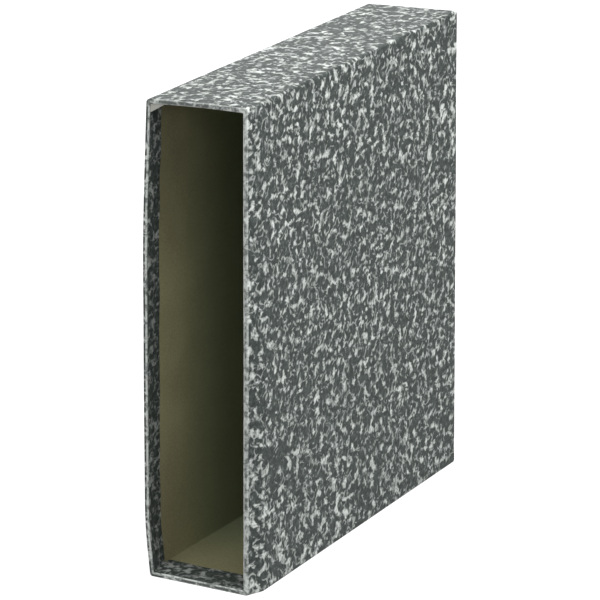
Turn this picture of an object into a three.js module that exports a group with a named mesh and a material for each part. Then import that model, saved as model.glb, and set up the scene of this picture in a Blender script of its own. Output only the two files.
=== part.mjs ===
// A box file: a tall, narrow case of grey board, open at the front, with paper pasted over it.
// Millimetres, +Z up. The mouth faces -Y and the back faces +Y. The origin is the middle of the
// underside of the box, measured over its widest place, which is where the left wall bows out.
import * as THREE from "three";

// Outside sizes, over the paper
const HEIGHT = 325;
const DEPTH = 288;
const WIDTH = 76; // across the top and the bottom, where the walls stand straight

// Thicknesses
const BOARD = 2.5;
const PAPER = 0.3;

// Folds
const SIDE_FOLD_RADIUS = 1.8; // outside radius of the four folds from the mouth to the back
const BACK_FOLD_RADIUS = 1.8; // outside radius of the folds round the back
const CREASE_RADIUS = 0.4; // least radius on the inside of a fold

// Paper turned in over the edge of the mouth
const SIDE_TURN_IN = 13.5; // on the two tall walls
const END_TURN_IN = 22; // on the top and the bottom
const MITRE = 6; // run of the slanted cut at each corner of the end turn-ins

// The left wall stands out at the mouth and is straight at the back
const BOW = 4;
const BOW_FOOT = 48; // height over which the bow grows from the bottom
const BOW_HEAD = 135; // height over which it dies away to the top

// Steps in each curve
const FOLD_STEPS = 4;
const BOW_STEPS = 16;
const DEPTH_STEPS = 6;

// Places worked out from the sizes
const MOUTH_Y = -DEPTH / 2;
const BACK_Y = DEPTH / 2;
const RIGHT_X = (WIDTH + BOW) / 2;
const LEFT_X = RIGHT_X - WIDTH;
const BOARD_EDGE_Y = MOUTH_Y + PAPER; // the board's own edge, under the paper

// How far each surface lies in from the outside of the box
const PAPER_OUTSIDE = 0;
const BOARD_OUTSIDE = PAPER;
const BOARD_INSIDE = PAPER + BOARD;
const TURN_IN_FACE = BOARD_INSIDE + PAPER;

// Corner radius of a surface that lies in from the outside of a fold
function radiusAt(foldRadius, inset) {
  return Math.max(foldRadius - inset, CREASE_RADIUS);
}

// How much of its full bow the left wall has at a height
function bowShare(height) {
  const foot = Math.min(height / BOW_FOOT, 1);
  const head = Math.min((HEIGHT - height) / BOW_HEAD, 1);
  return Math.sin((foot * Math.PI) / 2) * Math.sin((head * Math.PI) / 2);
}

// One corner of an outline, as an arc of a quarter turn that starts at the given angle
function cornerArc(centreX, centreZ, radius, startAngle) {
  const points = [];
  for (let step = 0; step <= FOLD_STEPS; step += 1) {
    const angle = startAngle + (step / FOLD_STEPS) * (Math.PI / 2);
    const x = centreX + radius * Math.cos(angle);
    const z = centreZ + radius * Math.sin(angle);
    points.push({ x, z, bow: 0, onEnd: false });
  }
  return points;
}

// The box seen from the mouth, as a rounded rectangle that lies in from the outside by inset.
// It runs up the right wall, along the top, down the left wall and back along the bottom.
// bow is a point's share of the left wall's bow, and onEnd marks the points of the top and the
// bottom between which the end turn-ins have their full depth.
function outline(inset) {
  const radius = radiusAt(SIDE_FOLD_RADIUS, inset);
  const left = LEFT_X + inset + radius;
  const right = RIGHT_X - inset - radius;
  const low = inset + radius;
  const high = HEIGHT - inset - radius;
  const leftWall = [];
  for (let step = 1; step < BOW_STEPS; step += 1) {
    const z = THREE.MathUtils.lerp(high, low, step / BOW_STEPS);
    leftWall.push({ x: left - radius, z, bow: bowShare(z), onEnd: false });
  }
  return [
    ...cornerArc(right, low, radius, -Math.PI / 2),
    ...cornerArc(right, high, radius, 0),
    { x: right - MITRE, z: high + radius, bow: 0, onEnd: true },
    { x: left + MITRE, z: high + radius, bow: 0, onEnd: true },
    ...cornerArc(left, high, radius, Math.PI / 2),
    ...leftWall,
    ...cornerArc(left, low, radius, Math.PI),
    { x: left + MITRE, z: low - radius, bow: 0, onEnd: true },
    { x: right - MITRE, z: low - radius, bow: 0, onEnd: true },
  ];
}

// The outline placed in the depth of the box. depthOf gives each point's own y.
function ring(inset, depthOf) {
  const straightFrom = BACK_Y - BACK_FOLD_RADIUS;
  return outline(inset).map((point) => {
    const y = depthOf(point);
    const along = (y - BOARD_EDGE_Y) / (straightFrom - BOARD_EDGE_Y);
    const fade = Math.cos((Math.PI / 2) * THREE.MathUtils.clamp(along, 0, 1));
    return new THREE.Vector3(point.x - BOW * point.bow * fade, y, point.z);
  });
}

// Where the turned-in paper ends
function turnInEnd(point) {
  return MOUTH_Y + (point.onEnd ? END_TURN_IN : SIDE_TURN_IN);
}

// Rings from one depth to the back of the box, round the folds there
function ringsToBack(inset, startOf) {
  const foldRadius = radiusAt(BACK_FOLD_RADIUS, inset);
  const foldStart = BACK_Y - inset - foldRadius;
  const rings = [];
  for (let step = 0; step <= DEPTH_STEPS; step += 1) {
    const share = step / DEPTH_STEPS;
    rings.push(ring(inset, (point) => THREE.MathUtils.lerp(startOf(point), foldStart, share)));
  }
  for (let step = 1; step <= FOLD_STEPS; step += 1) {
    const angle = (step / FOLD_STEPS) * (Math.PI / 2);
    const y = foldStart + foldRadius * Math.sin(angle);
    rings.push(ring(inset + foldRadius * (1 - Math.cos(angle)), () => y));
  }
  return rings;
}

// Triangles between rings. From the mouth to the back they face away from the middle of the box.
function skin(rings) {
  const triangles = [];
  for (let step = 1; step < rings.length; step += 1) {
    const near = rings[step - 1];
    const far = rings[step];
    for (let index = 0; index < near.length; index += 1) {
      const next = (index + 1) % near.length;
      triangles.push([near[index], far[index], far[next]]);
      triangles.push([near[index], far[next], near[next]]);
    }
  }
  return triangles;
}

// Skin with the last ring closed by a flat wall that faces the back
function closedSkin(rings) {
  const last = rings.at(-1);
  const middle = new THREE.Vector3((LEFT_X + RIGHT_X) / 2, last[0].y, HEIGHT / 2);
  const backWall = last.map((point, index) => [middle, last[(index + 1) % last.length], point]);
  return [...skin(rings), ...backWall];
}

// The same triangles, facing the other way
function facingIn(triangles) {
  return triangles.map(([first, second, third]) => [first, third, second]);
}

// A named mesh from the triangles of its closed surface
function meshOf(name, triangles, material) {
  const positions = triangles.flat().flatMap((corner) => corner.toArray());
  const geometry = new THREE.BufferGeometry();
  geometry.setAttribute("position", new THREE.Float32BufferAttribute(positions, 3));
  geometry.computeVertexNormals();
  const mesh = new THREE.Mesh(geometry, material);
  mesh.name = name;
  return mesh;
}

// Rings at the rim of the mouth
const atMouth = () => MOUTH_Y;
const atBoardEdge = () => BOARD_EDGE_Y;
const boardEdgeOutside = ring(BOARD_OUTSIDE, atBoardEdge);
const boardEdgeInside = ring(BOARD_INSIDE, atBoardEdge);
const turnInEndOnBoard = ring(BOARD_INSIDE, turnInEnd);

// Surfaces where paper and board are pasted together, which both pieces share
const pastedOutside = closedSkin(ringsToBack(BOARD_OUTSIDE, atBoardEdge));
const pastedEdge = skin([boardEdgeInside, boardEdgeOutside]);
const pastedInside = facingIn(skin([boardEdgeInside, turnInEndOnBoard]));

// The case of grey board
function boardCase() {
  const bareInside = facingIn(closedSkin(ringsToBack(BOARD_INSIDE, turnInEnd)));
  const surface = [...pastedOutside, ...pastedEdge, ...pastedInside, ...bareInside];
  const greyBoard = new THREE.MeshStandardMaterial({ color: 0x87836b, roughness: 0.95, metalness: 0 });
  return meshOf("board_case", surface, greyBoard);
}

// The paper that wraps the outside, goes over the rim of the mouth and is turned in
function coverPaper() {
  const rimOutside = ring(BOARD_OUTSIDE, atMouth);
  const rimInside = ring(BOARD_INSIDE, atMouth);
  const turnInStart = ring(TURN_IN_FACE, atBoardEdge);
  const turnInEndFace = ring(TURN_IN_FACE, turnInEnd);
  const surface = [
    ...closedSkin([rimOutside, ...ringsToBack(PAPER_OUTSIDE, atBoardEdge)]),
    ...skin([turnInStart, rimInside, rimOutside]),
    ...facingIn(skin([turnInStart, turnInEndFace])),
    ...skin([turnInEndOnBoard, turnInEndFace]),
    ...facingIn([...pastedOutside, ...pastedEdge, ...pastedInside]),
  ];
  const darkPaper = new THREE.MeshStandardMaterial({ color: 0x7d8480, roughness: 0.75, metalness: 0 });
  return meshOf("cover_paper", surface, darkPaper);
}

const boxFile = new THREE.Group();
boxFile.add(boardCase(), coverPaper());

export default boxFile;
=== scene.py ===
"""A box file of grey board, covered in marbled paper, built round its fixed frame.

The case stands upright with its mouth towards -Y. Lengths are metres.
"""
import math

import bmesh
import bpy
from bpy.props import FloatProperty, FloatVectorProperty, PointerProperty
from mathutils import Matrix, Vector, noise


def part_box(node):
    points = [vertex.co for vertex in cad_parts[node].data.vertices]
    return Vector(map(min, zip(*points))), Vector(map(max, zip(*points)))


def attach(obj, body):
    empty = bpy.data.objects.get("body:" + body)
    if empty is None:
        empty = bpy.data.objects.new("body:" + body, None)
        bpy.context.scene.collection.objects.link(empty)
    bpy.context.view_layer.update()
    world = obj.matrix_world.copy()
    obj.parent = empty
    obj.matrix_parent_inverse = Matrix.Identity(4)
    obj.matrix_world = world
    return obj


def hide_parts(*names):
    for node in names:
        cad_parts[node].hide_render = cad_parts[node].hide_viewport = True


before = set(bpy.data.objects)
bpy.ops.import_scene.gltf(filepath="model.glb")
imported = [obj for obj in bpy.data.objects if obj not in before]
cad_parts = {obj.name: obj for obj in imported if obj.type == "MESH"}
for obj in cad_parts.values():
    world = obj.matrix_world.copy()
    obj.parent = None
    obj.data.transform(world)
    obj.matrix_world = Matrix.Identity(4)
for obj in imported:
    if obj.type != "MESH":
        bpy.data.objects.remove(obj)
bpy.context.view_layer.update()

bl_info = {
    "name": "Box file",
    "version": (1, 0, 0),
    "blender": (4, 5, 0),
    "location": "3D View > Sidebar > Box File",
    "description": "Builds a marbled box file, its grey board and a plain studio round them",
    "category": "Object",
}

MM = 0.001
COVER_LOW, COVER_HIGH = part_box("cover_paper")


# Sizes and colours that a user would change

class CaseSizes(bpy.types.PropertyGroup):
    board: FloatProperty(
        name="Board", description="Thickness of the grey board", default=2.5 * MM, unit="LENGTH")
    paper: FloatProperty(
        name="Paper", description="Thickness of the cover paper", default=0.3 * MM, unit="LENGTH")
    fold_radius: FloatProperty(
        name="Fold radius", description="Outside radius of the folds", default=1.8 * MM, unit="LENGTH")
    rim_radius: FloatProperty(
        name="Rim radius", description="Rounding of the paper over the rim of the mouth",
        default=0.45 * MM, unit="LENGTH")
    side_turn_in: FloatProperty(
        name="Side turn-in", description="Paper turned in on the tall walls",
        default=13.5 * MM, unit="LENGTH")
    end_turn_in: FloatProperty(
        name="End turn-in", description="Paper turned in at the top and the bottom",
        default=22 * MM, unit="LENGTH")
    slice_step: FloatProperty(
        name="Slice step", description="Distance between the cuts that let the walls bend",
        default=6 * MM, unit="LENGTH")


class CaseWear(bpy.types.PropertyGroup):
    bow_room: FloatProperty(
        name="Bow room", description="How far the frame is wider on the left than the straight case",
        default=4 * MM, unit="LENGTH")
    bow: FloatProperty(
        name="Bow", description="How far the left wall stands out in the middle of the mouth",
        default=3.7 * MM, unit="LENGTH")
    left_drop: FloatProperty(
        name="Left drop", description="How much lower the top is along its left fold",
        default=3 * MM, unit="LENGTH")
    mouth_left: FloatVectorProperty(
        name="Mouth, left wall", description="Shift of the left wall at the mouth's bottom and top",
        size=2, default=(-1 * MM, 0.45 * MM), unit="LENGTH")
    mouth_right: FloatVectorProperty(
        name="Mouth, right wall", description="Shift of the right wall at the mouth's bottom and top",
        size=2, default=(1.8 * MM, -1.4 * MM), unit="LENGTH")
    back_left: FloatVectorProperty(
        name="Back, left wall", description="Shift of the left wall at the back's bottom and top",
        size=2, default=(2.3 * MM, 4.65 * MM), unit="LENGTH")
    back_right: FloatVectorProperty(
        name="Back, right wall", description="Shift of the right wall at the back's bottom and top",
        size=2, default=(-0.4 * MM, -2.6 * MM), unit="LENGTH")
    pinch: FloatVectorProperty(
        name="Pinch", description="How far the right wall is pressed in at the mouth's bottom and top",
        size=2, default=(5.5 * MM, 1.2 * MM), unit="LENGTH")
    left_pinch: FloatProperty(
        name="Left pinch", description="How far the foot of the left wall is pressed in at the mouth",
        default=3.4 * MM, unit="LENGTH")
    pinch_reach: FloatProperty(
        name="Pinch reach", description="Depth over which the pinch dies away",
        default=12 * MM, unit="LENGTH")
    side_extra: FloatVectorProperty(
        name="Side extra", description="How much deeper the paper is turned in at the walls' foot and head",
        size=2, default=(5 * MM, 0.5 * MM), unit="LENGTH")
    end_extra: FloatProperty(
        name="End extra", description="How much deeper the paper is turned in at the top and the bottom",
        default=2 * MM, unit="LENGTH")
    uneven_end: FloatProperty(
        name="Uneven end", description="Unevenness of the cut end of the turned-in paper",
        default=1.1 * MM, unit="LENGTH")
    ripple: FloatProperty(
        name="Ripple", description="Unevenness of the walls", default=0.25 * MM, unit="LENGTH")


class MarbledPaperLook(bpy.types.PropertyGroup):
    ground: FloatVectorProperty(
        name="Ground", description="Dark ground of the paper", subtype="COLOR", size=3,
        default=(0.046, 0.055, 0.051), min=0, max=1)
    fleck: FloatVectorProperty(
        name="Fleck", description="Pale flecks and veins", subtype="COLOR", size=3,
        default=(0.74, 0.775, 0.745), min=0, max=1)
    fleck_size: FloatProperty(
        name="Fleck size", description="Width of one fleck with its gap", default=5.6 * MM, unit="LENGTH")
    vein_size: FloatProperty(
        name="Vein size", description="Width of one loop of a vein", default=8.2 * MM, unit="LENGTH")
    bare: FloatVectorProperty(
        name="Bare", description="Plain back of the paper in the corner of the mouth", subtype="COLOR",
        size=3, default=(0.44, 0.44, 0.40), min=0, max=1)


class GreyBoardLook(bpy.types.PropertyGroup):
    board: FloatVectorProperty(
        name="Board", description="Bare grey board", subtype="COLOR", size=3,
        default=(0.38, 0.355, 0.20), min=0, max=1)
    fibre: FloatVectorProperty(
        name="Fibre", description="Darker fibres in the board", subtype="COLOR", size=3,
        default=(0.285, 0.265, 0.148), min=0, max=1)
    # Deep is darker and greener than the board: painted shade further in from the mouth.
    deep: FloatVectorProperty(
        name="Deep", description="Grey board further in, where it is greener", subtype="COLOR",
        size=3, default=(0.28, 0.31, 0.185), min=0, max=1)


class StudioLook(bpy.types.PropertyGroup):
    lens: FloatProperty(
        name="Lens", description="Focal length of the camera", default=248.8, subtype="DISTANCE_CAMERA")
    azimuth: FloatProperty(
        name="Azimuth", description="Turn of the camera to the right of the mouth",
        default=math.radians(28.964), subtype="ANGLE")
    elevation: FloatProperty(
        name="Elevation", description="Height angle of the camera",
        default=math.radians(18.015), subtype="ANGLE")
    distance: FloatProperty(
        name="Distance", description="Camera to the point it looks at", default=2.7606, unit="LENGTH")
    target: FloatVectorProperty(
        name="Target", description="Point that the camera looks at", size=3,
        default=(-4.96 * MM, 0, 153.13 * MM), unit="LENGTH")
    ambient: FloatProperty(
        name="Ambient", description="Strength of the even light from all round", default=0.33)
    floor_glow: FloatProperty(
        name="Floor glow", description="What the camera adds to the floor so that it reads white",
        default=0.9)


# The straight case and how it is bent

LEAST_RADIUS = 0.4 * MM  # on the inside of a fold
FOLD_SEGMENTS = 6
RIM_SEGMENTS = 3
TOUCHING = 0.01 * MM  # places as near as this are taken as the same
CUT_MERGE = 0.02 * MM  # a cut as near as this to a point goes through it
SLACK = 0.1 * MM  # allowed where a surface is known by how far in it lies
BOW_FOOT = 48 * MM  # height over which the bow grows from the bottom
BOW_HEAD = 135 * MM  # height over which it dies away to the top
WALL_SHARE = 0.1  # share of the width at each side that moves as its wall does
RIPPLE_LENGTH = 70 * MM
RIPPLE_FOOT = 0.04  # share of the height over which the ripple grows from the bottom
UNEVEN_LENGTH = 20 * MM  # about one wave of the cut end of the turned-in paper
GUSSET_WIDTH = 10.5 * MM
GUSSET_HEIGHT = 5.8 * MM
GUSSET_SETBACK = 0.5 * MM  # behind the rim of the mouth
CRISP_ANGLE = math.radians(38)  # an edge that turns by more than this stays sharp


def clamped(value):
    """The share from 0 to 1 that is nearest to a value."""
    return min(max(value, 0), 1)


def eased(value):
    """A share from 0 to 1 that starts and ends gently."""
    share = clamped(value)
    return share * share * (3 - 2 * share)


def between(first, second, share):
    """The value that lies at a share of the way from the first to the second."""
    return first + (second - first) * share


class CaseForm:
    """Places on the straight case, and the bend that takes them to the case that wear has bent out of
    shape.
    """

    def __init__(self, sizes, wear):
        self.sizes = sizes
        self.wear = wear
        self.low = Vector((COVER_LOW.x + wear.bow_room, COVER_LOW.y, COVER_LOW.z))
        self.high = COVER_HIGH.copy()

    def core_of(self, co, margin):
        """The nearest point of a box that lies in from the outside by margin, at the same depth."""
        return Vector((
            min(max(co.x, self.low.x + margin), self.high.x - margin),
            co.y,
            min(max(co.z, self.low.z + margin), self.high.z - margin)))

    def toward_middle(self, co, inset):
        """A point of the skin's rim, moved square to its wall or fold until it lies in by inset."""
        radius = self.sizes.fold_radius
        outward = (co - self.core_of(co, radius)).normalized()
        new_radius = max(radius - inset, LEAST_RADIUS)
        return self.core_of(co, inset + new_radius) + outward * new_radius

    def inset_of(self, co):
        """How far a point lies in from the outside of the walls."""
        radius = self.sizes.fold_radius
        outward = (co - self.core_of(co, radius)).length
        if outward > 0:
            return radius - outward
        return min(co.x - self.low.x, self.high.x - co.x, co.z - self.low.z, self.high.z - co.z)

    def bow_at(self, depth, height):
        """How far the left wall stands out. Depth is a share, and height is a length."""
        foot = min(height / BOW_FOOT, 1)
        head = min((self.high.z - self.low.z - height) / BOW_HEAD, 1)
        quarter = math.pi / 2
        fade = math.sin(quarter * foot) * math.sin(quarter * head) * math.cos(quarter * depth)
        return self.wear.bow * fade

    def bent(self, co):
        """A point of the straight case where it lies on the case that wear has bent out of shape."""
        across, depth, height = (
            clamped((co[i] - self.low[i]) / (self.high[i] - self.low[i])) for i in range(3))
        wear = self.wear
        left = between(between(*wear.mouth_left, height), between(*wear.back_left, height), depth)
        right = between(between(*wear.mouth_right, height), between(*wear.back_right, height), depth)
        on_right = eased((across - WALL_SHARE) / (1 - 2 * WALL_SHARE))
        near_mouth = 1 - eased((co.y - self.low.y) / wear.pinch_reach)
        left += wear.left_pinch * (near_mouth - 1) * (1 - depth) * (1 - height) ** 2
        bow = self.bow_at(depth, co.z - self.low.z) * (1 - on_right)
        pinch = between(*wear.pinch, height) * near_mouth * on_right
        ripple = noise.noise(co / RIPPLE_LENGTH) * wear.ripple * min(height / RIPPLE_FOOT, 1)
        drop = wear.left_drop * (1 - across) ** between(2, 1, depth) * height ** 2
        return Vector((co.x + between(left, right, across) - bow - pinch + ripple, co.y, co.z - drop))


# Skins of the case

def open_skin(form, inset):
    """A skin of the case without its mouth, lying in from the outside by inset."""
    margin = Vector((inset, inset, inset))
    low = form.low + margin
    high = form.high - margin
    mesh = bmesh.new()
    bmesh.ops.create_cube(mesh, size=1)
    bmesh.ops.scale(mesh, vec=high - low, verts=mesh.verts)
    bmesh.ops.translate(mesh, vec=(low + high) / 2, verts=mesh.verts)
    mouth = [face for face in mesh.faces if face.normal.y < -0.5]
    bmesh.ops.delete(mesh, geom=mouth, context="FACES_ONLY")
    folds = [edge for edge in mesh.edges if not edge.is_boundary]
    bmesh.ops.bevel(
        mesh, geom=folds, offset=max(form.sizes.fold_radius - inset, LEAST_RADIUS), offset_type="OFFSET",
        segments=FOLD_SEGMENTS, profile=0.5, affect="EDGES", material=-1, clamp_overlap=True)
    return mesh


def rim_edges(mesh):
    """The open edges of a skin."""
    return [edge for edge in mesh.edges if edge.is_boundary]


def extruded_rim(mesh, place):
    """Grows the open edge by one band, whose new edge is moved by place."""
    grown = bmesh.ops.extrude_edge_only(mesh, edges=rim_edges(mesh))
    for item in grown["geom"]:
        if isinstance(item, bmesh.types.BMVert):
            item.co = place(item.co)


def shell(form, outer, inner):
    """A closed wall of the case between two insets, open at the mouth."""
    mesh = open_skin(form, outer)
    extruded_rim(mesh, lambda co: form.toward_middle(co, inner))
    extruded_rim(mesh, lambda co: Vector((co.x, form.high.y - inner, co.z)))
    bmesh.ops.holes_fill(mesh, edges=rim_edges(mesh), sides=0)
    return mesh


def mouth_folds(mesh, form):
    """The edges at the mouth where the paper folds over."""
    folds = []
    for edge in mesh.edges:
        at_mouth = all(abs(point.co.y - form.low.y) < TOUCHING for point in edge.verts)
        if at_mouth and len(edge.link_faces) == 2:
            first, second = (face.normal for face in edge.link_faces)
            if abs(first.dot(second)) < 0.5:
                folds.append(edge)
    return folds


def paper_skin(form, inward):
    """The outside of the case, taken over the rim of the mouth and turned in on the inner walls."""
    sizes = form.sizes
    middle = (form.low.z + form.high.z) / 2
    half_inside = (form.high.z - form.low.z) / 2 - inward - SLACK

    def turned_in(co):
        on_end = abs(co.z - middle) > half_inside
        depth = sizes.end_turn_in if on_end else sizes.side_turn_in
        return Vector((co.x, form.low.y + depth, co.z))

    mesh = open_skin(form, 0)
    extruded_rim(mesh, lambda co: form.toward_middle(co, inward))
    extruded_rim(mesh, turned_in)
    bmesh.ops.bevel(
        mesh, geom=mouth_folds(mesh, form), offset=sizes.rim_radius, offset_type="OFFSET",
        segments=RIM_SEGMENTS, profile=0.5, affect="EDGES", material=-1, clamp_overlap=True)
    return mesh


def gusset(mesh, form, inward):
    """A small web of bare paper in the top left corner of the mouth."""
    bare = mesh.verts.layers.float.new("bare")
    left = form.low.x + inward
    top = form.high.z - inward
    front = form.low.y + GUSSET_SETBACK
    corners = [
        mesh.verts.new((left, front, top)),
        mesh.verts.new((left, front, top - GUSSET_HEIGHT)),
        mesh.verts.new((left + GUSSET_WIDTH, front, top)),
    ]
    for corner in corners:
        corner[bare] = 1
    mesh.faces.new(corners)


def sliced(mesh, form):
    """Cuts the walls across, so that they can bend."""
    for axis in range(3):
        start = form.low[axis]
        span = form.high[axis] - start
        count = max(int(span / form.sizes.slice_step), 2)
        normal = Vector((0, 0, 0))
        normal[axis] = 1
        for cut in range(1, count):
            bmesh.ops.bisect_plane(
                mesh, geom=mesh.verts[:] + mesh.edges[:] + mesh.faces[:], dist=CUT_MERGE,
                plane_co=normal * (start + span * cut / count), plane_no=normal)


def uneven_turn_in(mesh, form, inward):
    """Stretches the turned-in paper, more towards its foot, and makes its cut end uneven."""
    sizes = form.sizes
    wear = form.wear
    for point in mesh.verts:
        depth = point.co.y - form.low.y
        if depth > sizes.end_turn_in + MM or form.inset_of(point.co) < inward - SLACK:
            continue
        height = (point.co.z - form.low.z) / (form.high.z - form.low.z)
        side = between(*wear.side_extra, height)
        uneven = noise.noise(Vector((point.co.x, 0, point.co.z)) / UNEVEN_LENGTH) * wear.uneven_end
        on_side = clamped((depth - MM) / (sizes.side_turn_in - MM))
        on_end = clamped((depth - sizes.side_turn_in) / (sizes.end_turn_in - sizes.side_turn_in))
        point.co.y += (side + uneven) * on_side + (wear.end_extra - side) * on_end


# Skins made into pieces

def finished(mesh, name, form, material):
    """The bent mesh as an object that rides with the case. Its points keep where they lay."""
    inset = mesh.verts.layers.float.new("inset")
    depth = mesh.verts.layers.float.new("depth")
    for point in mesh.verts:
        point[inset] = form.inset_of(point.co) / MM
        point[depth] = (point.co.y - form.low.y) / MM
        point.co = form.bent(point.co)
    data = bpy.data.meshes.new(name)
    mesh.to_mesh(data)
    mesh.free()
    data.materials.append(material)
    piece = bpy.data.objects.new(name, data)
    bpy.context.scene.collection.objects.link(piece)
    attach(piece, "root")
    return piece


def thickened(piece, thickness):
    """Gives a skin its thickness, inwards."""
    solidify = piece.modifiers.new("Thickness", "SOLIDIFY")
    solidify.thickness = thickness
    solidify.offset = -1
    solidify.use_even_offset = True
    grown = piece.evaluated_get(bpy.context.evaluated_depsgraph_get())
    piece.data = bpy.data.meshes.new_from_object(grown)
    piece.modifiers.clear()


def smoothed(piece):
    """Shades the folds smooth and keeps the cut edges crisp."""
    piece.data.shade_smooth()
    piece.data.set_sharp_from_angle(angle=CRISP_ANGLE)


# Materials

class Shader:
    """A node material that is built node by node."""

    def __init__(self, name):
        self.material = bpy.data.materials.new(name)
        self.material.use_nodes = True
        self.tree = self.material.node_tree
        self.surface = self.tree.nodes["Principled BSDF"]

    def node(self, kind, settings=None, **inputs):
        """A new node with its settings and its inputs, which are values or other nodes' outputs."""
        made = self.tree.nodes.new(kind)
        for key, value in (settings or {}).items():
            setattr(made, key, value)
        for key, value in inputs.items():
            self.feed(made.inputs[key.replace("_", " ")], value)
        return made

    def feed(self, socket, value):
        """Links an output to a socket, or sets the socket to a plain value."""
        if isinstance(value, bpy.types.NodeSocket):
            self.tree.links.new(value, socket)
        else:
            socket.default_value = value

    def math(self, operation, first, second=0.0):
        made = self.tree.nodes.new("ShaderNodeMath")
        made.operation = operation
        self.feed(made.inputs[0], first)
        self.feed(made.inputs[1], second)
        return made.outputs[0]

    def vector_math(self, operation, first, second):
        made = self.node("ShaderNodeVectorMath", {"operation": operation})
        self.feed(made.inputs[0], first)
        self.feed(made.inputs[1], second)
        return made.outputs[0]

    def attribute(self, name):
        """What a piece's points hold under a name."""
        return self.node("ShaderNodeAttribute", {"attribute_name": name}).outputs["Fac"]

    def noise(self, where, size, detail=2.0, roughness=0.5, distortion=0.0, output="Fac"):
        made = self.node(
            "ShaderNodeTexNoise", Vector=where, Scale=1 / size, Detail=detail,
            Roughness=roughness, Distortion=distortion)
        return made.outputs[output]

    def ramp(self, value, low, high, out_low=0.0, out_high=1.0):
        """A smooth step from out_low, where the value is low, to out_high, where it is high."""
        made = self.node(
            "ShaderNodeMapRange", {"interpolation_type": "SMOOTHSTEP"},
            Value=value, From_Min=low, From_Max=high, To_Min=out_low, To_Max=out_high)
        return made.outputs["Result"]

    def blend(self, factor, first, second):
        """The first colour where the factor is 0, and the second where it is 1."""
        made = self.tree.nodes.new("ShaderNodeMix")
        made.data_type = "RGBA"
        self.feed(made.inputs[0], factor)
        self.feed(made.inputs[6], first)
        self.feed(made.inputs[7], second)
        return made.outputs[2]

    def bump(self, height, distance):
        made = self.node("ShaderNodeBump", Strength=1.0, Distance=distance, Height=height)
        self.feed(self.surface.inputs["Normal"], made.outputs["Normal"])

    def finish(self, colour, roughness, specular):
        """Sets the surface's colour and its gloss."""
        self.feed(self.surface.inputs["Base Color"], colour)
        self.surface.inputs["Roughness"].default_value = roughness
        self.surface.inputs["Specular IOR Level"].default_value = specular


def shade(colour, factor=1.0):
    """A colour made darker or paler by a factor, with full alpha."""
    return (colour[0] * factor, colour[1] * factor, colour[2] * factor, 1.0)


# Marbled paper. A pair gives where a smooth step starts and where it is full.

DRIFT = 5 * MM  # how far the pattern is drawn out of place
FLECKS = (0.505, 0.675)  # of the blotches
VEINS = (0.055, 0.005)  # of the distance from a vein's middle line
VEIN_BREAKS = (0.47, 0.60)
VEIN_STRENGTH = 0.55
PATCH_SIZE = 26 * MM
PATCH_STRENGTHS = (0.75, 1.0)
CRACKLE_SIZE = 1.7 * MM
CRACKLE_STRENGTHS = (0.78, 1.15)
NOISE_MIDDLE = (0.3, 0.7)  # holds most of what a noise gives
MOTTLE = (0.3, 0.72)
MOTTLE_SHADES = (0.75, 1.9)  # of the ground
TURN_IN_PAINTED_SHADE = 0.5  # how much of the fleck is dimmed on the turned-in paper, as painted shade inside the mouth
PAPER_GRAIN = 0.5 * MM
PAPER_GRAIN_HEIGHT = 0.04 * MM

# Wear and painted highlights on the rim of the mouth. Insets and depths are in millimetres, as the points
# hold them.

LEFT_RIM = (-24 * MM, -31 * MM)
RIGHT_RIM = (25 * MM, 32 * MM)
TOP_RIM = (312 * MM, 319 * MM)
TOP_RIM_SHARE = 0.4  # of the pale lines that is left on the top rim
RIM_DEPTH = (1.3, 0.5)
TURN_IN_EDGE = (0.9, 0.5)  # outwards from the inner edge of the rim
OUTER_LINE = (0.9, 0.2)  # insets
INNER_LINE = (1.1, 0.4)  # outwards from the inner edge of the rim
HIGHLIGHT_CREST = 2.3  # inset of the painted highlight along the middle of the left rim's rounded profile
HIGHLIGHT_CREST_LINE = (0.95, 0.4)  # distances from the crest
HIGHLIGHT_CREST_STRENGTH = 0.85
LINE_STRENGTH = 0.9
DASH_SIZE = 6 * MM
DASHES = (0.38, 0.56)
DASH_STRENGTHS = (0.15, 1.0)
RIM_PALING = 0.12  # even paling of the rim: partly wear, and partly painted light on its front face
RIM_PALING_LEFT = 0.02
SCUFF_SIZE = 4.5 * MM
SCUFFS = (0.38, 0.62)
SCUFF_STRENGTHS = (0.1, 0.7)


def drawn_out(shader, place, size):
    """Places moved to and fro, so that the pattern looks combed."""
    drift = shader.noise(place, size * 1.3, 1.0, output="Color")
    centred = shader.vector_math("SUBTRACT", drift, (0.5, 0.5, 0.5))
    moves = shader.vector_math("MULTIPLY", centred, (DRIFT, DRIFT, DRIFT))
    return shader.vector_math("ADD", place, moves)


def marbling(shader, place, look):
    """How much of the fleck colour shows, and the mottled ground under it."""
    where = drawn_out(shader, place, look.vein_size)
    flecks = shader.ramp(shader.noise(where, look.fleck_size, 2.5, 0.6), *FLECKS)
    from_vein = shader.math("SUBTRACT", shader.noise(where, look.vein_size, 1.0), 0.5)
    veins = shader.ramp(shader.math("ABSOLUTE", from_vein), *VEINS)
    broken = shader.ramp(shader.noise(place, look.vein_size * 0.8, 1.0), *VEIN_BREAKS)
    veins = shader.math("MULTIPLY", veins, broken)
    pale = shader.math("MAXIMUM", flecks, shader.math("MULTIPLY", veins, VEIN_STRENGTH))
    patchy = shader.ramp(shader.noise(place, PATCH_SIZE, 1.0), *NOISE_MIDDLE, *PATCH_STRENGTHS)
    crackle = shader.ramp(
        shader.noise(place, CRACKLE_SIZE, 2.0, 0.6), *NOISE_MIDDLE, *CRACKLE_STRENGTHS)
    pale = shader.math("MULTIPLY", shader.math("MULTIPLY", pale, patchy), crackle)
    mottled = shader.ramp(shader.noise(where, look.fleck_size * 0.5, 3.0, 0.65), *MOTTLE)
    dark, light = (shade(look.ground, factor) for factor in MOTTLE_SHADES)
    return pale, shader.blend(mottled, dark, light)


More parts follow.
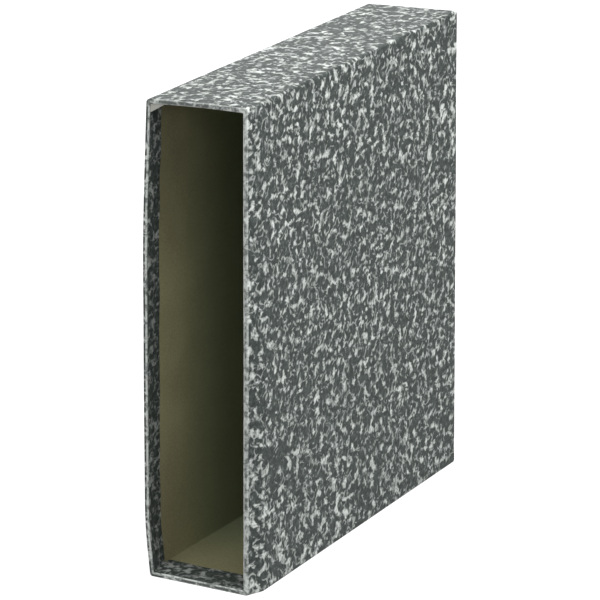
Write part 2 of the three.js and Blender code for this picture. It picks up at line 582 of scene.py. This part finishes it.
def rim_wear_and_highlights(shader, place, inset, inner_edge):
    """How far each place of the rim is paled to the fleck colour: rubbed wear, and painted highlights along
    its rounded edges.
    """
    axes = shader.node("ShaderNodeSeparateXYZ", Vector=place).outputs
    on_left = shader.ramp(axes["X"], *LEFT_RIM)
    on_right = shader.ramp(axes["X"], *RIGHT_RIM)
    off_top = shader.ramp(axes["Z"], *TOP_RIM, 1.0, TOP_RIM_SHARE)
    off_right = shader.math("SUBTRACT", 1.0, on_right)
    # The pale lines along the rim's edges are partly rubbed wear and partly painted highlights on its
    # rounded folds.
    outer = shader.math("MULTIPLY", shader.ramp(inset, *OUTER_LINE), off_right)
    inner = shader.ramp(inset, *(inner_edge - outwards for outwards in INNER_LINE))
    edges = shader.math("MULTIPLY", shader.math("MAXIMUM", outer, inner), off_top)
    # Painted highlight: a pale line along the crest of the left rim's rounded profile.
    from_crest = shader.math("ABSOLUTE", shader.math("SUBTRACT", inset, HIGHLIGHT_CREST))
    crest = shader.ramp(from_crest, *HIGHLIGHT_CREST_LINE, 0.0, HIGHLIGHT_CREST_STRENGTH)
    lines = shader.node("ShaderNodeMix", A=edges, B=crest, Factor=on_left).outputs["Result"]
    dashes = shader.ramp(shader.noise(place, DASH_SIZE, 3.0, 0.7), *DASHES, *DASH_STRENGTHS)
    lines = shader.math("MULTIPLY", shader.math("MULTIPLY", lines, dashes), LINE_STRENGTH)
    paled = shader.math("ADD", shader.ramp(on_left, 0.0, 1.0, RIM_PALING, RIM_PALING_LEFT), lines)
    scuffs = shader.ramp(shader.noise(place, SCUFF_SIZE, 2.0, 0.6), *SCUFFS, *SCUFF_STRENGTHS)
    return shader.math("MAXIMUM", paled, shader.math("MULTIPLY", scuffs, on_right))


def marbled_paper(look, sizes):
    shader = Shader("marbled paper")
    place = shader.node("ShaderNodeTexCoord").outputs["Object"]
    inset = shader.attribute("inset")
    inner_edge = (sizes.paper * 2 + sizes.board) / MM
    pale, ground = marbling(shader, place, look)
    # Painted shade: the pale flecks are dimmed on the paper turned in inside the mouth.
    inside = shader.ramp(inset, *(inner_edge - outwards for outwards in TURN_IN_EDGE))
    kept = shader.math("SUBTRACT", 1.0, shader.math("MULTIPLY", inside, TURN_IN_PAINTED_SHADE))
    colour = shader.blend(shader.math("MULTIPLY", pale, kept), ground, shade(look.fleck))
    # The rim is paled by wear and by painted highlights.
    on_rim = shader.ramp(shader.attribute("depth"), *RIM_DEPTH)
    paled = shader.math("MULTIPLY", on_rim, rim_wear_and_highlights(shader, place, inset, inner_edge))
    colour = shader.blend(paled, colour, shade(look.fleck))
    colour = shader.blend(shader.attribute("bare"), colour, shade(look.bare))
    shader.finish(colour, roughness=0.6, specular=0.1)
    shader.bump(shader.noise(place, PAPER_GRAIN, 3.0, 0.6), PAPER_GRAIN_HEIGHT)
    return shader.material


# Grey board. Depths from the mouth are in millimetres, as the points hold them.

FIBRE_SIZE = 1.2 * MM
FIBRE_HEIGHT = 0.06 * MM
FIBRE_SHARE = 0.7  # of the pattern, and clouds are the rest
CLOUD_SIZE = 30 * MM
BOARD_PATTERN = (0.35, 0.65)
GREENER_AND_SHADED = (15, 110)  # depths over which the board turns greener and darker; the darkening is painted shade further in
PAINTED_SHADE_HEAD = (185 * MM, 260 * MM)  # heights of the painted shade at the top of the inner walls
PAINTED_SHADE_HEAD_STRENGTH = 0.36
PAINTED_SHADE_FOOT = (110 * MM, 30 * MM)  # heights of the painted shade at the foot of the inner walls
PAINTED_SHADE_FOOT_STRENGTH = 0.24
PAINTED_SHADE_FADE = (15, 90)  # depths over which the painted shade at the head and the foot fades out
DEEP_FIBRE = 0.85  # how dark the fibres are against the deep board
BLACK = (0, 0, 0, 1)


def grey_board(look):
    shader = Shader("grey board")
    place = shader.node("ShaderNodeTexCoord").outputs["Object"]
    depth = shader.attribute("depth")
    height = shader.node("ShaderNodeSeparateXYZ", Vector=place).outputs["Z"]
    fibres = shader.noise(place, FIBRE_SIZE, 4.0, 0.65, 0.6)
    clouds = shader.noise(place, CLOUD_SIZE, 2.0)
    fine = shader.math("MULTIPLY", fibres, FIBRE_SHARE)
    broad = shader.math("MULTIPLY", clouds, 1 - FIBRE_SHARE)
    mixed = shader.math("ADD", fine, broad)
    amount = shader.ramp(mixed, *BOARD_PATTERN)
    near = shader.blend(amount, shade(look.fibre), shade(look.board))
    # Further in, the board is painted darker and greener, as shade.
    far = shader.blend(amount, shade(look.deep, DEEP_FIBRE), shade(look.deep))
    colour = shader.blend(shader.ramp(depth, *GREENER_AND_SHADED), near, far)
    # Painted shade: the board is darkened towards the top and the bottom of the walls near the mouth.
    head = shader.ramp(height, *PAINTED_SHADE_HEAD, 0, PAINTED_SHADE_HEAD_STRENGTH)
    foot = shader.ramp(height, *PAINTED_SHADE_FOOT, 0, PAINTED_SHADE_FOOT_STRENGTH)
    near_mouth = shader.ramp(depth, *PAINTED_SHADE_FADE, 1.0, 0.0)
    ends = shader.math("MULTIPLY", shader.math("MAXIMUM", head, foot), near_mouth)
    shader.finish(shader.blend(ends, colour, BLACK), roughness=0.9, specular=0.2)
    shader.bump(fibres, FIBRE_HEIGHT)
    return shader.material


# The studio

WHITE = (1, 1, 1, 1)
FLOOR_RADIUS = 6.0
FLOOR_COLOUR = (0.3, 0.3, 0.3, 1)
SENSOR_WIDTH = 36
SOFTBOXES = (  # name, place, width and height, and power
    ("top softbox", (0.3, -0.4, 1.7), (1.6, 1.6), 14.5),
    ("front softbox", (-0.2, -2.0, 1.4), (1.0, 1.0), 10.5),
    ("low front softbox", (1.4, -1.4, 0.8), (0.8, 0.8), 5),
    ("right softbox", (0.9, 0.1, 1.15), (0.9, 0.9), 12),
    ("back softbox", (-0.9, 1.7, 1.0), (1.2, 1.2), 10),
)


def softbox(name, place, size, power):
    """An area lamp that faces the middle of the case."""
    lamp = bpy.data.lights.new(name, "AREA")
    lamp.shape = "RECTANGLE"
    lamp.size, lamp.size_y = size
    lamp.energy = power
    lamp_object = bpy.data.objects.new(name, lamp)
    lamp_object.location = place
    middle = (COVER_LOW + COVER_HIGH) / 2
    lamp_object.rotation_euler = (middle - Vector(place)).to_track_quat("-Z", "Y").to_euler()
    bpy.context.scene.collection.objects.link(lamp_object)


def seen_straight(tree):
    """1 for the camera, for a reflection and for a view through a clear piece, and 0 for other light."""
    rays = tree.nodes.new("ShaderNodeLightPath").outputs
    seen = rays["Is Camera Ray"]
    for also in ("Is Glossy Ray", "Is Transmission Ray"):
        either = tree.nodes.new("ShaderNodeMath")
        either.operation = "MAXIMUM"
        tree.links.new(seen, either.inputs[0])
        tree.links.new(rays[also], either.inputs[1])
        seen = either.outputs[0]
    return seen


def studio_world(look):
    """Even light from all round, which the camera sees as plain white."""
    world = bpy.data.worlds.new("studio")
    world.use_nodes = True
    tree = world.node_tree
    ambient = tree.nodes["Background"]
    ambient.inputs["Strength"].default_value = look.ambient
    ambient.inputs["Color"].default_value = WHITE
    white = tree.nodes.new("ShaderNodeBackground")
    white.inputs["Color"].default_value = WHITE
    mix = tree.nodes.new("ShaderNodeMixShader")
    tree.links.new(seen_straight(tree), mix.inputs[0])
    tree.links.new(ambient.outputs[0], mix.inputs[1])
    tree.links.new(white.outputs[0], mix.inputs[2])
    tree.links.new(mix.outputs[0], tree.nodes["World Output"].inputs["Surface"])
    bpy.context.scene.world = world


def studio_floor(look):
    """A pale floor that keeps the shadow of the case."""
    mesh = bmesh.new()
    bmesh.ops.create_circle(mesh, cap_ends=True, segments=64, radius=FLOOR_RADIUS)
    data = bpy.data.meshes.new("studio_floor")
    mesh.to_mesh(data)
    mesh.free()
    floor = bpy.data.objects.new("studio_floor", data)
    bpy.context.scene.collection.objects.link(floor)
    shader = Shader("studio floor")
    shader.surface.inputs["Base Color"].default_value = FLOOR_COLOUR
    shader.surface.inputs["Roughness"].default_value = 0.9
    shader.surface.inputs["Emission Color"].default_value = WHITE
    glow = shader.math("MULTIPLY", seen_straight(shader.tree), look.floor_glow)
    shader.feed(shader.surface.inputs["Emission Strength"], glow)
    data.materials.append(shader.material)


def studio_camera(look):
    """The camera at the height and turn that the look gives."""
    camera = bpy.data.cameras.new("camera")
    camera.sensor_width = SENSOR_WIDTH
    camera.lens = look.lens
    camera.clip_end = 50
    placed = bpy.data.objects.new("camera", camera)
    level = math.cos(look.elevation)
    back = Vector((
        math.sin(look.azimuth) * level, -math.cos(look.azimuth) * level, math.sin(look.elevation)))
    placed.location = Vector(look.target) + back * look.distance
    placed.rotation_euler = (-back).to_track_quat("-Z", "Y").to_euler()
    bpy.context.scene.collection.objects.link(placed)
    bpy.context.scene.camera = placed


# Operators

class BOXFILE_OT_cover_paper(bpy.types.Operator):
    """Wraps the case in marbled paper that goes over the rim and is turned in"""
    bl_idname = "boxfile.cover_paper"
    bl_label = "Cover paper"

    def execute(self, context):
        scene = context.scene
        sizes = scene.box_file_sizes
        form = CaseForm(sizes, scene.box_file_wear)
        inward = sizes.paper + sizes.board + sizes.paper
        mesh = paper_skin(form, inward)
        gusset(mesh, form, inward)
        sliced(mesh, form)
        uneven_turn_in(mesh, form, inward)
        bmesh.ops.recalc_face_normals(mesh, faces=mesh.faces)
        piece = finished(mesh, "marbled_cover", form, marbled_paper(scene.box_file_paper, sizes))
        thickened(piece, sizes.paper)
        smoothed(piece)
        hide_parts("cover_paper")
        return {"FINISHED"}


class BOXFILE_OT_board_case(bpy.types.Operator):
    """Folds the grey board case that shows inside the mouth"""
    bl_idname = "boxfile.board_case"
    bl_label = "Board case"

    def execute(self, context):
        scene = context.scene
        sizes = scene.box_file_sizes
        form = CaseForm(sizes, scene.box_file_wear)
        mesh = shell(form, sizes.paper, sizes.paper + sizes.board)
        sliced(mesh, form)
        bmesh.ops.recalc_face_normals(mesh, faces=mesh.faces)
        piece = finished(mesh, "grey_board_case", form, grey_board(scene.box_file_board))
        smoothed(piece)
        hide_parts("board_case")
        return {"FINISHED"}


class BOXFILE_OT_studio(bpy.types.Operator):
    """Sets the pale floor, the soft lamps and the camera"""
    bl_idname = "boxfile.studio"
    bl_label = "Studio"

    def execute(self, context):
        look = context.scene.box_file_studio
        context.scene.view_settings.view_transform = "Standard"
        studio_camera(look)
        studio_world(look)
        studio_floor(look)
        for lamp in SOFTBOXES:
            softbox(*lamp)
        return {"FINISHED"}


# The sidebar panel

class BOXFILE_PT_sidebar(bpy.types.Panel):
    """Sizes, looks and pieces of the box file"""
    bl_label = "Box file"
    bl_idname = "BOXFILE_PT_sidebar"
    bl_space_type = "VIEW_3D"
    bl_region_type = "UI"
    bl_category = "Box File"

    def draw(self, context):
        layout = self.layout
        for key in GROUPS:
            group = getattr(context.scene, key)
            box = layout.box()
            for name in group.__annotations__:
                box.prop(group, name)
        for operator in OPERATORS:
            layout.operator(operator.bl_idname)


GROUPS = {
    "box_file_sizes": CaseSizes,
    "box_file_wear": CaseWear,
    "box_file_paper": MarbledPaperLook,
    "box_file_board": GreyBoardLook,
    "box_file_studio": StudioLook,
}
OPERATORS = (BOXFILE_OT_studio, BOXFILE_OT_cover_paper, BOXFILE_OT_board_case)


def register():
    for key, group in GROUPS.items():
        bpy.utils.register_class(group)
        setattr(bpy.types.Scene, key, PointerProperty(type=group))
    for operator in OPERATORS:
        bpy.utils.register_class(operator)
    bpy.utils.register_class(BOXFILE_PT_sidebar)


def unregister():
    bpy.utils.unregister_class(BOXFILE_PT_sidebar)
    for operator in reversed(OPERATORS):
        bpy.utils.unregister_class(operator)
    for key, group in reversed(GROUPS.items()):
        delattr(bpy.types.Scene, key)
        bpy.utils.unregister_class(group)


def main():
    register()
    bpy.ops.boxfile.studio()
    bpy.ops.boxfile.cover_paper()
    bpy.ops.boxfile.board_case()


if __name__ == "__main__":
    main()
